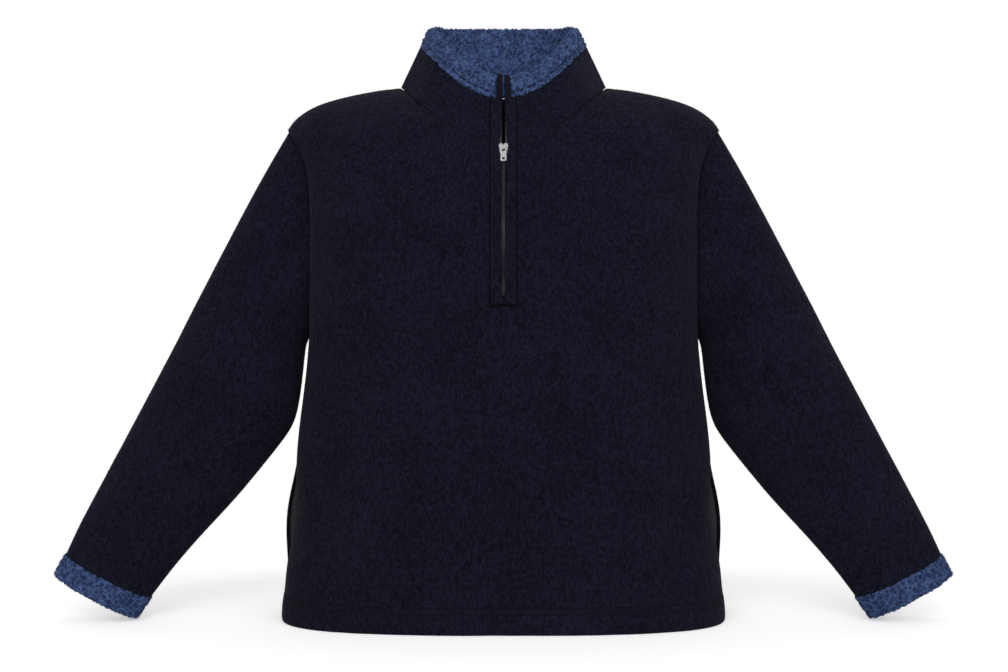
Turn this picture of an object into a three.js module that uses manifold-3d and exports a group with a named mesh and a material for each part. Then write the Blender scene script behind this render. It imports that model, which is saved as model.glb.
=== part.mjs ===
// Quarter-zip fleece pullover, filled out as it is worn, with nobody in it.
// Millimetres, +Z up, the front faces -Y and the wearer's left is +X. The origin is on the line where
// the neck meets the shoulders, in the middle, which is where the wearer carries the garment.
import * as THREE from 'three';
import { mergeVertices } from 'three/addons/utils/BufferGeometryUtils.js';
import Module from 'manifold-3d';

const wasm = await Module();
wasm.setup();

// ---------------------------------------------------------------- driving sizes
const CLOTH = 3; // fleece wall
const SEAM = 0.4; // gap between two sewn edges
const LAY = 0.3; // gap under a piece that lies on another
const HEM_Z = -631;
const HEM_FOLD_Z = -601; // top of the turned-up hem
const HEM_WALL = 6.5; // two layers of fleece
const UNDERARM_Z = -300;
const YOKE_Z = -150; // the shoulders start to round over here
const NECK_HALF = 123; // neck seam to the middle, at the shoulder
const NECK_DROP_FRONT = 78;
const NECK_DROP_BACK = 6;
const SLOT_HALF = 9.5; // slit for the zip, half its width
const SLOT_BOTTOM_Z = -255;

// Body sections from hem to yoke: half width, and half depth to the front and to the back.
const BODY = [
  { z: -631, width: 262.5, front: 99, back: 92 },
  { z: -625, width: 264, front: 100, back: 93 },
  { z: -604, width: 262, front: 99, back: 91.5 },
  { z: -598, width: 259.5, front: 97, back: 89.5 },
  { z: -571, width: 258.5, front: 96.5, back: 88.5 },
  { z: -512, width: 253, front: 95.5, back: 86 },
  { z: -440, width: 246.6, front: 93, back: 83 },
  { z: -404, width: 243.6, front: 92, back: 82 },
  { z: -366, width: 237.5, front: 92, back: 82 },
  { z: -326, width: 233.5, front: 92, back: 82 },
  { z: -300, width: 231, front: 92, back: 82 },
  { z: -246, width: 228, front: 91, back: 83 },
  { z: -206, width: 227.5, front: 90, back: 84 },
  { z: -150, width: 228, front: 86, back: 84 },
];
const SQUARENESS = [
  { z: HEM_Z, power: 3 },
  { z: -450, power: 2.8 },
  { z: UNDERARM_Z, power: 2.9 },
  { z: YOKE_Z, power: 3.2 },
];
// Where the panels' edges stand apart for the armhole, as a share of the half depth.
const ARMHOLE_SPREAD = [
  { z: -300, share: 0 },
  { z: -292, share: 0.14 },
  { z: -278, share: 0.22 },
  { z: -255, share: 0.29 },
  { z: -205, share: 0.32 },
  { z: -150, share: 0.32 },
];
// Half width of the body's edge as it rises from the yoke (0) to the shoulder seam (1).
const SHOULDER_EDGE = [
  { rise: 0, width: 228 },
  { rise: 0.2, width: 228.5 },
  { rise: 0.35, width: 230.5 },
  { rise: 0.525, width: 236 },
  { rise: 0.65, width: 243 },
  { rise: 0.833, width: 253 },
  { rise: 1, width: 258 },
];
// Height of the shoulder seam from the middle to its tip.
const SHOULDER_RIDGE = [
  { x: 0, z: 7 },
  { x: 60, z: 6 },
  { x: 123, z: 0 },
  { x: 158, z: -5 },
  { x: 191, z: -12 },
  { x: 217, z: -19 },
  { x: 233, z: -26 },
  { x: 244, z: -34 },
  { x: 252, z: -41 },
  { x: 258, z: -51 },
];

// In-seam pockets: the front edge of the mouth pulls in and back, the back edge bows out.
const MOUTH = { bottom: -571, top: -450, pullIn: 7, spread: 0.13, bowOut: 8 };

// Soft troughs where the lower front hangs between the pockets and the middle.
const TROUGHS = [
  { x: -196, z: -520, lean: 0.27, halfWidth: 26, halfLength: 95, depth: 4 },
  { x: 193, z: -528, lean: -0.24, halfWidth: 28, halfLength: 88, depth: 3.5 },
];

// Rows of the panels: heights up to the yoke, then shares of the way from the yoke to the top edge.
const PANEL_HEIGHTS = [
  -631, -627, -605, -598, -571, -542, -512, -482, -450, -404, -352, -300, -292, -278, -255, -205, -150,
];
const PANEL_RISES = [0.18, 0.38, 0.58, 0.77, 0.91, 1];
const FRONT_COLUMNS = [0, 0.13, 0.26, 0.37, 0.4567, 0.57, 0.68, 0.78, 0.87, 0.935, 0.978, 0.996, 1];
const BACK_COLUMNS = [0, 0.16, 0.32, 0.4767, 0.62, 0.76, 0.87, 0.94, 0.98, 1];

// Collar: the rim is an oval that lies lower in front, where the zip is open.
const RIM = { half: 88, front: 50, back: 48, z: 74, frontDrop: 72, backRise: 6 };
const COLLAR_ROWS = [0.005, 0.17, 0.34, 0.5, 0.655];
// Section of the lining around the rim: share of the way up the collar, and how far it stands out.
const LINING_SECTION = [
  { up: 0.665, out: 1.2 },
  { up: 0.72, out: 1.7 },
  { up: 0.94, out: 1.5 },
  { up: 1.0, out: 0 },
  { up: 1.03, out: -2.5 },
  { up: 1.02, out: -5.2 },
  { up: 0.96, out: -7.4 },
  { up: 0.5, out: -8.2 },
  { up: 0.01, out: -8.2 },
  { up: 0.01, out: -4.5 },
  { up: 0.17, out: -4.5 },
  { up: 0.34, out: -4.5 },
  { up: 0.5, out: -4.5 },
  { up: 0.655, out: -3.9 },
  { up: 0.665, out: -3.4 },
];
const LINING_FRONT_X = 8.3;

// Sleeve sections from shoulder to wrist: the outer and the inner fold line, the half depth, and how
// far the section stands from the middle plane.
const SLEEVE = [
  { outerX: 280.2, outerZ: -90, innerX: 237, innerZ: -308.4, depth: 37, y: 0 },
  { outerX: 303.7, outerZ: -134.6, innerX: 238.5, innerZ: -326.4, depth: 43, y: -2 },
  { outerX: 327.2, outerZ: -180.4, innerX: 240.5, innerZ: -350.2, depth: 46, y: -4 },
  { outerX: 351.8, outerZ: -228.3, innerX: 243, innerZ: -376.4, depth: 46, y: -6 },
  { outerX: 377.3, outerZ: -278.5, innerX: 248, innerZ: -402.5, depth: 44, y: -9 },
  { outerX: 394.5, outerZ: -314.3, innerX: 260.1, innerZ: -421.4, depth: 41, y: -11 },
  { outerX: 422.2, outerZ: -367.7, innerX: 286.8, innerZ: -454.9, depth: 36, y: -14 },
  { outerX: 449.6, outerZ: -420.8, innerX: 316.9, innerZ: -491.9, depth: 32, y: -17 },
  { outerX: 477, outerZ: -473.7, innerX: 350.5, innerZ: -526.9, depth: 28, y: -20 },
  { outerX: 501.1, outerZ: -519.5, innerX: 387.7, innerZ: -569.1, depth: 24, y: -22 },
  { outerX: 515.6, outerZ: -553.4, innerX: 414.3, innerZ: -605.2, depth: 21, y: -24 },
];
const CUFF_END = { outerX: 528.2, outerZ: -576.7, innerX: 431.6, innerZ: -629.7, depth: 20, y: -25 };
const SLEEVE_SIDES = 18;
const SLEEVE_SQUARENESS = 2.2;
const CUFF = { proud: 1.5, wall: 5, rows: [0.013, 0.1, 0.5, 0.9, 1] };

// Zip: the placket lips by height, with the gap between them and how far each reaches, both halved.
const PLACKET = [
  { z: -263, gap: 0.3, reach: 14.5 },
  { z: -259, gap: 0.3, reach: 14.5 },
  { z: -255, gap: 1.4, reach: 14.5 },
  { z: -241, gap: 1.5, reach: 14.5 },
  { z: -228, gap: 0.8, reach: 14.5 },
  { z: -210, gap: 0.8, reach: 14.5 },
  { z: -198, gap: 1.8, reach: 14.5 },
  { z: -170, gap: 1.7, reach: 14.5 },
  { z: -150, gap: 1.2, reach: 14.5 },
  { z: -105, gap: 1.3, reach: 14.5 },
  { z: -98, gap: 2.6, reach: 14.5 },
  { z: -93, gap: 5.6, reach: 14.5 },
  { z: -81, gap: 5.7, reach: 14.5 },
  { z: -75, gap: 3.4, reach: 14.5 },
  { z: -55, gap: 2.4, reach: 14.5 },
  { z: -34, gap: 1.4, reach: 14.5 },
  { z: -30, gap: 1.2, reach: 14.3 },
  { z: -25.5, gap: 1, reach: 7.9 },
  { z: -12, gap: 0.8, reach: 7.9 },
  { z: 0, gap: 0.7, reach: 7.6 },
  { z: 3, gap: 0.8, reach: 7 },
];
const PLACKET_WALL = 2.9;
const TAPE = { half: 7.8, wall: 0.8, closed: 0.4, open: 2.3, splitBottomZ: -92, splitTopZ: -83, top: 0 };
const SLIDER_Z = -86.5; // middle of the slider along the zip
const SLIDER = { width: 10, waist: 6.4, length: 12.6, frontPlate: 1.6, backPlate: 1.2, post: 3.2 };
const BAIL = { width: 2.4, outer: 6.2, inner: 3.8, height: 6.5, clear: 5.3 };
const PULL = {
  width: 7, top: 0.8, length: 16, wall: 1.2, axisOut: 4.1, windowHalf: 1.7, windowDown: 4.5, holeHalf: 1.5,
};

// Pocket bags: one folded sheet behind the front panel, closed where its layers come together.
const POCKET = { wall: 1.2, gap: 5.5, pinch: 0.6, clear: 0.6, turn: 5, backReach: 2.2, inset: 11, slack: 5 };
const POCKET_HEIGHTS = PANEL_HEIGHTS.filter((z) => z >= -598 && z <= MOUTH.top);
const POCKET_COLUMNS = 7; // columns of the front panel that the bag lies behind, from the side seam in

// ---------------------------------------------------------------- helpers
const { abs, asin, cos, exp, hypot, max, min, PI, pow, sign, sin, sqrt } = Math;
const point = (x, y, z) => new THREE.Vector3(x, y, z);

/** Value of one column of a table at a place between its rows, on a smooth curve with no overshoot. */
function lookup(rows, key, name, at) {
  const place = min(max(at, rows[0][key]), rows[rows.length - 1][key]);
  let i = 0;
  while (i < rows.length - 2 && rows[i + 1][key] < place) i += 1;
  const slope = (a) => {
    const low = rows[a];
    const high = rows[a + 1];
    return low && high ? (high[name] - low[name]) / (high[key] - low[key]) : undefined;
  };
  const tangent = (a) => {
    const before = a > 0 ? slope(a - 1) : slope(a);
    const after = a < rows.length - 1 ? slope(a) : slope(a - 1);
    return before * after <= 0 ? 0 : (2 * before * after) / (before + after);
  };
  const span = rows[i + 1][key] - rows[i][key];
  const t = (place - rows[i][key]) / span;
  const [v0, v1, m0, m1] = [rows[i][name], rows[i + 1][name], tangent(i) * span, tangent(i + 1) * span];
  const t2 = t * t;
  const t3 = t2 * t;
  return (2 * t3 - 3 * t2 + 1) * v0 + (t3 - 2 * t2 + t) * m0 + (3 * t2 - 2 * t3) * v1 + (t3 - t2) * m1;
}

/** Outward directions of a grid of points, from its neighbours in each direction. */
function gridNormals(grid, { wrap = false, turn = 1 } = {}) {
  const rows = grid.length;
  const cols = grid[0].length;
  const pick = (row, col) => grid[row][wrap ? (col + cols) % cols : min(max(col, 0), cols - 1)];
  return grid.map((line, r) => line.map((_, c) => {
    const across = pick(r, c + 1).clone().sub(pick(r, c - 1));
    const up = pick(min(r + 1, rows - 1), c).clone().sub(pick(max(r - 1, 0), c));
    return across.cross(up).multiplyScalar(turn).normalize();
  }));
}

/** Flattens a direction on the named axes, so that an edge of cloth is cut square there. */
function squared(direction, ...axes) {
  const flat = direction.clone();
  axes.forEach((axis) => { flat[axis] = 0; });
  return flat.lengthSq() > 1e-6 ? flat.normalize() : direction.clone();
}

/** A mesh of one closed body from points and triangles, turned so that its faces point out. */
function closedBody(positions, triangles) {
  let volume = 0;
  triangles.forEach(([a, b, c]) => {
    volume += positions[a].dot(positions[b].clone().cross(positions[c]));
  });
  const index = volume < 0 ? triangles.map(([a, b, c]) => [a, c, b]) : triangles;
  const geometry = new THREE.BufferGeometry();
  geometry.setAttribute('position', new THREE.Float32BufferAttribute(positions.flatMap((p) => [...p]), 3));
  geometry.setIndex(index.flat());
  geometry.computeVertexNormals();
  return geometry;
}

/** Cloth between an outer and an inner grid of points; cells that `cut` names are left open. */
function clothBody(outer, inner, { wrap = false, cut = () => false } = {}) {
  const rows = outer.length;
  const cols = outer[0].length;
  const cellCols = wrap ? cols : cols - 1;
  const positions = [...outer.flat(), ...inner.flat()];
  const face = (r, c) => r * cols + (c % cols);
  const lining = (r, c) => rows * cols + face(r, c);
  const present = (r, c) => {
    if (r < 0 || r >= rows - 1) return false;
    if (!wrap && (c < 0 || c >= cellCols)) return false;
    return !cut(r, (c + cellCols) % cellCols);
  };
  const triangles = [];
  const quad = (a, b, c, d) => {
    const [pa, pb, pc, pd] = [a, b, c, d].map((k) => positions[k]);
    if (pa.distanceTo(pc) <= pb.distanceTo(pd)) triangles.push([a, b, c], [a, c, d]);
    else triangles.push([a, b, d], [b, c, d]);
  };
  for (let r = 0; r < rows - 1; r += 1) {
    for (let c = 0; c < cellCols; c += 1) {
      if (!present(r, c)) continue;
      const corners = [[r, c], [r, c + 1], [r + 1, c + 1], [r + 1, c]];
      const [o1, o2, o3, o4] = corners.map((k) => face(...k));
      const [i1, i2, i3, i4] = corners.map((k) => lining(...k));
      quad(o1, o2, o3, o4);
      quad(i1, i4, i3, i2);
      if (!present(r - 1, c)) quad(o2, o1, i1, i2);
      if (!present(r, c + 1)) quad(o3, o2, i2, i3);
      if (!present(r + 1, c)) quad(o4, o3, i3, i4);
      if (!present(r, c - 1)) quad(o1, o4, i4, i1);
    }
  }
  return closedBody(positions, triangles);
}

/** A solid swept through closed loops of equal length, with its two ends closed by a flat outline. */
function sweptBody(loops, outline) {
  const count = loops[0].length;
  const triangles = [];
  for (let k = 0; k < loops.length - 1; k += 1) {
    for (let i = 0; i < count; i += 1) {
      const [a, b] = [k * count + i, k * count + ((i + 1) % count)];
      triangles.push([a, b, b + count], [a, b + count, a + count]);
    }
  }
  const direction = THREE.ShapeUtils.area(outline);
  const last = (loops.length - 1) * count;
  THREE.ShapeUtils.triangulateShape(outline, []).forEach(([a, b, c]) => {
    const along = THREE.ShapeUtils.area([outline[a], outline[b], outline[c]]) * direction > 0;
    const [second, third] = along ? [b, c] : [c, b];
    triangles.push([a, third, second], [last + a, last + second, last + third]);
  });
  return closedBody(loops.flat(), triangles);
}

/** A closed solid for the boolean library. */
function solidOf(geometry) {
  const bare = geometry.clone();
  ['normal', 'uv'].forEach((name) => bare.deleteAttribute(name));
  const merged = mergeVertices(bare, 1e-4);
  return new wasm.Manifold(new wasm.Mesh({
    numProp: 3,
    vertProperties: new Float32Array(merged.attributes.position.array),
    triVerts: new Uint32Array(merged.index.array),
  }));
}

/** The geometry of a solid from the boolean library. */
function geometryOf(solid) {
  const mesh = solid.getMesh();
  const geometry = new THREE.BufferGeometry();
  geometry.setAttribute('position', new THREE.Float32BufferAttribute(mesh.vertProperties, 3));
  geometry.setIndex([...mesh.triVerts]);
  geometry.computeVertexNormals();
  return geometry;
}

const finish = (color, roughness, metalness = 0) => new THREE.MeshStandardMaterial({
  color, roughness, metalness,
});
const FLEECE = finish('#191a26', 0.95);
const SHERPA = finish('#394c80', 0.95);
const WOVEN = finish('#101119', 0.8);
const POCKETING = finish('#0b0b0e', 0.9);
const METAL = finish('#b9bbbe', 0.3, 1);

/** A named piece. */
function piece(name, geometry, material) {
  const mesh = new THREE.Mesh(geometry, material);
  mesh.name = name;
  return mesh;
}

// ---------------------------------------------------------------- body panels
const FRONT = { side: -1, depth: 'front', slot: SLOT_HALF, neckDrop: NECK_DROP_FRONT };
const BACK = { side: 1, depth: 'back', slot: 0, neckDrop: NECK_DROP_BACK };

/** How far the pocket's mouth gapes at a height, from 0 at its ends to 1 in its middle. */
function mouthGape(z) {
  const along = (z - MOUTH.bottom) / (MOUTH.top - MOUTH.bottom);
  return along <= 0 || along >= 1 ? 0 : pow(sin(PI * along), 1.3);
}

/** Depth of the soft troughs of the lower front at a place. */
function troughDepth(x, z) {
  return TROUGHS.reduce((sum, fold) => {
    const along = (z - fold.z) / fold.halfLength;
    const across = (x - fold.x - fold.lean * (fold.z - z)) / fold.halfWidth;
    return sum + fold.depth * exp(-along * along - across * across);
  }, 0);
}

/** Half width of a panel and the share of its depth at which its edge lies, at a height. */
function panelEdge(panel, z) {
  const width = lookup(BODY, 'z', 'width', z);
  if (z >= UNDERARM_Z) return { width, share: lookup(ARMHOLE_SPREAD, 'z', 'share', z) };
  const gape = mouthGape(z);
  if (panel === FRONT) return { width: width - MOUTH.pullIn * gape, share: MOUTH.spread * gape };
  return { width: width + MOUTH.bowOut * gape, share: 0 };
}

/** Depth of the body's section at a share of its half width, as a share of the half depth. */
function sectionDepth(across, share, power) {
  const inside = 1 - pow(min(across, 1), power) * (1 - pow(share, power));
  return pow(max(inside, 0), 1 / power);
}

/** Place on a panel's outer face below the yoke. `across` runs from -1 to 1. */
function lowerPoint(panel, across, z) {
  const edge = panelEdge(panel, z);
  const x = panel.slot + (edge.width - panel.slot) * abs(across);
  const power = lookup(SQUARENESS, 'z', 'power', z);
  const depth = lookup(BODY, 'z', panel.depth, z) * sectionDepth(x / edge.width, edge.share, power);
  const signedX = (across < 0 ? -1 : 1) * x;
  const trough = panel === FRONT ? troughDepth(signedX, z) * min(depth / 60, 1) : 0;
  return point(signedX, panel.side * (depth - trough + SEAM / 2), z);
}

/** Place on a panel's outer face above the yoke, at a share of the way up to its top edge. */
function upperPoint(panel, across, share) {
  const spanAt = (rise) => {
    const width = lookup(SHOULDER_EDGE, 'rise', 'width', rise);
    return { width, x: panel.slot + (width - panel.slot) * abs(across) };
  };
  const ridgeAt = (x) => lookup(SHOULDER_RIDGE, 'x', 'z', x);
  const neckAt = (x) => -panel.neckDrop * (1 - pow(x / NECK_HALF, 2));
  let top = 1;
  for (let pass = 0; pass < 12; pass += 1) {
    const { x } = spanAt(top);
    top = x < NECK_HALF - 0.5 ? min((neckAt(x) - YOKE_Z) / (ridgeAt(x) - YOKE_Z), 1) : 1;
  }
  const angle = asin(top) * share;
  const rise = sin(angle);
  const { width, x } = spanAt(rise);
  const power = lookup(SQUARENESS, 'z', 'power', YOKE_Z);
  const spread = lookup(ARMHOLE_SPREAD, 'z', 'share', YOKE_Z);
  const depth = lookup(BODY, 'z', panel.depth, YOKE_Z) * sectionDepth(x / width, spread, power);
  const y = panel.side * (depth * cos(angle) + SEAM / 2);
  return point((across < 0 ? -1 : 1) * x, y, YOKE_Z + (ridgeAt(x) - YOKE_Z) * rise);
}

/** Both grids of a panel: its outer face, its inner face, and the directions between them. */
function panelGrids(panel, halfColumns) {
  const mirrored = halfColumns.slice().reverse().map((across) => -across);
  const columns = panel.slot > 0 ? [...mirrored, ...halfColumns] : [...mirrored.slice(0, -1), ...halfColumns];
  // Minus zero and zero are the two sides of the slit, so the left half is nudged to stay negative.
  const signed = columns.map((across, k) => (k < mirrored.length && across === 0 && panel.slot > 0
    ? -1e-9 : across));
  const outer = [
    ...PANEL_HEIGHTS.map((z) => signed.map((across) => lowerPoint(panel, across, z))),
    ...PANEL_RISES.map((share) => signed.map((across) => upperPoint(panel, across, share))),
  ];
  const normals = gridNormals(outer, { turn: -panel.side });
  const lastRow = outer.length - 1;
  const lastCol = signed.length - 1;
  const inner = outer.map((line, r) => line.map((place, c) => {
    let direction = normals[r][c];
    const onSideSeam = (c === 0 || c === lastCol) && place.z <= UNDERARM_Z && abs(place.y) < 1;
    const onShoulderSeam = r === lastRow && abs(place.y) < 1;
    if (onSideSeam || onShoulderSeam) direction = squared(direction, 'y');
    if (r <= 1) direction = squared(direction, 'z');
    const wall = place.z < HEM_FOLD_Z ? HEM_WALL : CLOTH;
    return place.clone().addScaledVector(direction, -wall);
  }));
  return { outer, inner, normals, columns: signed };
}

/** Front panel, with the slit for the zip from the neck down. */
function frontPanel(grids) {
  const slitColumn = FRONT_COLUMNS.length - 1;
  const slitRow = PANEL_HEIGHTS.indexOf(SLOT_BOTTOM_Z);
  return clothBody(grids.outer, grids.inner, { cut: (r, c) => c === slitColumn && r >= slitRow });
}

const frontGrids = panelGrids(FRONT, FRONT_COLUMNS);
const backGrids = panelGrids(BACK, BACK_COLUMNS);

// ---------------------------------------------------------------- collar
/** The neck seam, from the zip round the wearer's left side and the back to the zip again. */
function neckSeam() {
  const top = (grids) => grids.outer[grids.outer.length - 1];
  const within = (place) => abs(place.x) < NECK_HALF - 1;
  const frontEdge = top(frontGrids).filter(within);
  const half = frontEdge.length / 2;
  const backEdge = top(backGrids).filter(within).reverse();
  const corners = [
    ...frontEdge.slice(half),
    point(NECK_HALF, 0, 0),
    ...backEdge,
    point(-NECK_HALF, 0, 0),
    ...frontEdge.slice(0, half),
  ];
  return corners.flatMap((corner, k) => {
    const next = corners[k + 1];
    return next ? [corner.clone(), corner.clone().lerp(next, 0.5)] : [corner.clone()];
  });
}

/** The place on the rim that stands over a place on the neck seam. */
function rimOver(base) {
  const isFront = base.y < 0;
  const reach = abs(base.x);
  const x = isFront
    ? SLOT_HALF + ((RIM.half - SLOT_HALF) * (reach - SLOT_HALF)) / (NECK_HALF - SLOT_HALF)
    : (RIM.half * reach) / NECK_HALF;
  const square = max(1 - pow(x / RIM.half, 2), 0);
  const y = isFront ? -RIM.front * sqrt(square) : RIM.back * sqrt(square);
  const z = isFront ? RIM.z - RIM.frontDrop * square : RIM.z + RIM.backRise * square;
  return point(sign(base.x) * x, y, z);
}

const seam = neckSeam();
const rim = seam.map(rimOver);
const collarPoint = (k, up) => seam[k].clone().lerp(rim[k], up);

/** Outward direction of the collar at one of its columns. */
function collarNormal(k, up) {
  const last = seam.length - 1;
  const across = collarPoint(min(k + 1, last), up).sub(collarPoint(max(k - 1, 0), up));
  const direction = across.cross(rim[k].clone().sub(seam[k])).normalize();
  return k === 0 || k === last ? squared(direction, 'x') : direction;
}

/** Outer layer of the collar, which stops where the lining folds over it. */
function collarShell() {
  const grid = (out) => COLLAR_ROWS.map((up) => seam.map((_, k) => (
    collarPoint(k, up).addScaledVector(collarNormal(k, up), out))));
  return clothBody(grid(0), grid(-CLOTH));
}

/** Sherpa lining of the collar, folded over the rim and down outside as a band. */
function collarLining() {
  const last = seam.length - 1;
  const loops = seam.map((_, k) => LINING_SECTION.map(({ up, out }) => {
    const place = collarPoint(k, up).addScaledVector(collarNormal(k, min(up, 1)), out);
    if (k === 0 || k === last) place.x = sign(place.x) * LINING_FRONT_X;
    return place;
  }));
  const height = seam[0].distanceTo(rim[0]);
  const outline = LINING_SECTION.map(({ up, out }) => new THREE.Vector2(up * height, out));
  return sweptBody(loops, outline);
}

// ---------------------------------------------------------------- sleeves and cuffs
/** One ring of a sleeve on the wearer's left, from its outer fold line forward and round. */
function sleeveRing(section, grow = 0) {
  const outer = point(section.outerX, section.y, section.outerZ);
  const inner = point(section.innerX, section.y, section.innerZ);
  const middle = outer.clone().lerp(inner, 0.5);
  const reach = outer.clone().sub(middle);
  reach.setLength(reach.length() + grow);
  return Array.from({ length: SLEEVE_SIDES }, (_, i) => {
    const angle = (2 * PI * i) / SLEEVE_SIDES;
    const [c, s] = [cos(angle), sin(angle)];
    const along = sign(c) * pow(abs(c), 2 / SLEEVE_SQUARENESS);
    const deep = sign(s) * pow(abs(s), 2 / SLEEVE_SQUARENESS);
    const place = middle.clone().addScaledVector(reach, along);
    place.y -= deep * (section.depth + grow);
    return place;
  });
}

/** The rise at which the body's edge reaches a height above the yoke. */
function riseAt(z) {
  const heightAt = (rise) => {
    const width = lookup(SHOULDER_EDGE, 'rise', 'width', rise);
    return YOKE_Z + (lookup(SHOULDER_RIDGE, 'x', 'z', width) - YOKE_Z) * rise;
  };
  let [low, high] = [0, 1];
  for (let pass = 0; pass < 30; pass += 1) {
    const middle = (low + high) / 2;
    if (heightAt(middle) < z) low = middle;
    else high = middle;
  }
  return (low + high) / 2;
}

/** The sleeve's first ring, which follows the edges of the armhole at one seam's distance. */
function armholeRing() {
  const tip = SHOULDER_RIDGE[SHOULDER_RIDGE.length - 1].z;
  const [middle, half] = [(tip + UNDERARM_Z) / 2, (tip - UNDERARM_Z) / 2];
  return Array.from({ length: SLEEVE_SIDES }, (_, i) => {
    const angle = (2 * PI * i) / SLEEVE_SIDES;
    const z = middle + half * cos(angle);
    const side = sin(angle) > 0 ? FRONT : BACK;
    const ends = i === 0 || i * 2 === SLEEVE_SIDES ? 0 : 1;
    if (z <= YOKE_Z) {
      const { width, share } = panelEdge(side, z);
      return point(width + SEAM, ends * side.side * share * lookup(BODY, 'z', side.depth, z), z);
    }
    const rise = riseAt(z);
    const width = lookup(SHOULDER_EDGE, 'rise', 'width', rise);
    const share = lookup(ARMHOLE_SPREAD, 'z', 'share', YOKE_Z);
    const depth = lookup(BODY, 'z', side.depth, YOKE_Z) * share * sqrt(1 - rise * rise);
    return point(width + SEAM, ends * side.side * depth, z);
  });
}

/** Outer and inner grids of a sleeve-like tube; the first ring keeps its cut edge off the body. */
function tubeGrids(rings, wall, squareFirst) {
  const normals = gridNormals(rings, { wrap: true });
  const centre = (ring) => ring.reduce((sum, place) => sum.add(place), point(0, 0, 0)).divideScalar(ring.length);
  const outwards = normals[1][0].dot(rings[1][0].clone().sub(centre(rings[1]))) > 0 ? 1 : -1;
  const inner = rings.map((ring, r) => ring.map((place, i) => {
    const direction = normals[r][i].clone().multiplyScalar(outwards);
    const flat = r === 0 && squareFirst ? squared(direction, 'x') : direction;
    return place.clone().addScaledVector(flat, -wall);
  }));
  return { outer: rings, inner };
}

/** A sleeve from the armhole to one seam's distance before the cuff. */
function sleeveTube(turn) {
  const before = SLEEVE[SLEEVE.length - 2];
  const end = SLEEVE[SLEEVE.length - 1];
  const share = 1 - SEAM / hypot(end.outerX - before.outerX, end.outerZ - before.outerZ);
  const trimmed = Object.fromEntries(Object.keys(end).map((name) => (
    [name, before[name] + (end[name] - before[name]) * share])));
  const rings = [armholeRing(), ...[...SLEEVE.slice(0, -1), trimmed].map((section) => sleeveRing(section))];
  return mirrored(tubeGrids(rings, CLOTH, true), turn);
}

/** A cuff band, butted to the sleeve's end and standing a little proud of it. */
function cuffTube(turn) {
  const start = SLEEVE[SLEEVE.length - 1];
  const rings = CUFF.rows.map((share, k) => {
    const section = Object.fromEntries(Object.keys(start).map((name) => (
      [name, start[name] + (CUFF_END[name] - start[name]) * share])));
    const isEnd = k === 0 || k === CUFF.rows.length - 1;
    return sleeveRing(section, isEnd ? CUFF.proud / 3 : CUFF.proud);
  });
  return mirrored(tubeGrids(rings, CUFF.wall, false), turn);
}

/** A tube's solid on the wearer's left (turn 1) or right (turn -1). */
function mirrored({ outer, inner }, turn) {
  const flip = (grid) => grid.map((ring) => ring.map((place) => point(place.x * turn, place.y, place.z)));
  return clothBody(flip(outer), flip(inner), { wrap: true });
}

// ---------------------------------------------------------------- zip
/** The line that the zip follows: up the front panel's slit and on up the collar's front edge. */
function zipLine() {
  const column = FRONT_COLUMNS.length;
  const panelPart = frontGrids.outer.map((line, r) => ({
    place: line[column], out: squared(frontGrids.normals[r][column], 'x'),
  }));
  const collarPart = [0.05, 0.35, 0.655, 1, 1.03].map((up) => ({
    place: collarPoint(0, up), out: collarNormal(0, min(up, 1)),
  }));
  return [...panelPart, ...collarPart].map(({ place, out }) => ({
    z: place.z, y: place.y, outY: out.y, outZ: out.z,
  }));
}

const ZIP_LINE = zipLine();

/** Place at a height along the zip, at a distance across it and a distance out from the cloth. */
function zipPoint(z, x, out) {
  let i = 0;
  while (i < ZIP_LINE.length - 2 && ZIP_LINE[i + 1].z < z) i += 1;
  const [low, high] = [ZIP_LINE[i], ZIP_LINE[i + 1]];
  const t = (z - low.z) / (high.z - low.z);
  const mix = (name) => low[name] + (high[name] - low[name]) * t;
  const size = hypot(mix('outY'), mix('outZ'));
  return point(x, mix('y') + (out * mix('outY')) / size, z + (out * mix('outZ')) / size);
}

/** Heights of the zip's pieces: their own rows and the rows of the cloth under them. */
function zipHeights(own, bottom, top) {
  const under = ZIP_LINE.map(({ z }) => z);
  const all = [bottom, ...own, ...under, top].filter((z) => z >= bottom && z <= top).sort((a, b) => a - b);
  return all.filter((z, k) => k === 0 || z - all[k - 1] > 1.5);
}

/** One lip of the placket, lying on the front panel and the collar beside the zip. */
function placketLip(turn) {
  const top = PLACKET[PLACKET.length - 1].z;
  const heights = zipHeights(PLACKET.map(({ z }) => z), PLACKET[0].z, top);
  const columns = [0, 0.18, 0.82, 1];
  const grid = (outMiddle, outEdge) => heights.map((z) => {
    const gap = lookup(PLACKET, 'z', 'gap', z);
    const reach = lookup(PLACKET, 'z', 'reach', z);
    return columns.map((share) => {
      const out = share === 0 || share === 1 ? outEdge : outMiddle;
      return zipPoint(z, turn * (gap + (reach - gap) * share), out);
    });
  });
  return clothBody(grid(LAY + PLACKET_WALL, LAY + 0.7 * PLACKET_WALL), grid(LAY, LAY));
}

/** One zip tape: closed below the slider, and parted above it. */
function zipTape(turn) {
  const splits = [TAPE.splitBottomZ, TAPE.splitTopZ];
  const heights = zipHeights(splits, SLOT_BOTTOM_Z + 2, TAPE.top);
  const grid = (out) => heights.map((z) => {
    const open = min(max((z - splits[0]) / (splits[1] - splits[0]), 0), 1);
    const inside = TAPE.closed + (TAPE.open - TAPE.closed) * open;
    return [zipPoint(z, turn * inside, out), zipPoint(z, turn * TAPE.half, out)];
  });
  return clothBody(grid(0), grid(-TAPE.wall));
}

/** A flat plate from an outline in x and z, with its faces at two distances out from the zip. */
function plate(outline, from, to) {
  const geometry = new THREE.ExtrudeGeometry(outline, { depth: to - from, bevelEnabled: false, curveSegments: 6 });
  geometry.rotateX(PI / 2);
  return geometry.translate(0, -from, 0);
}

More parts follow.
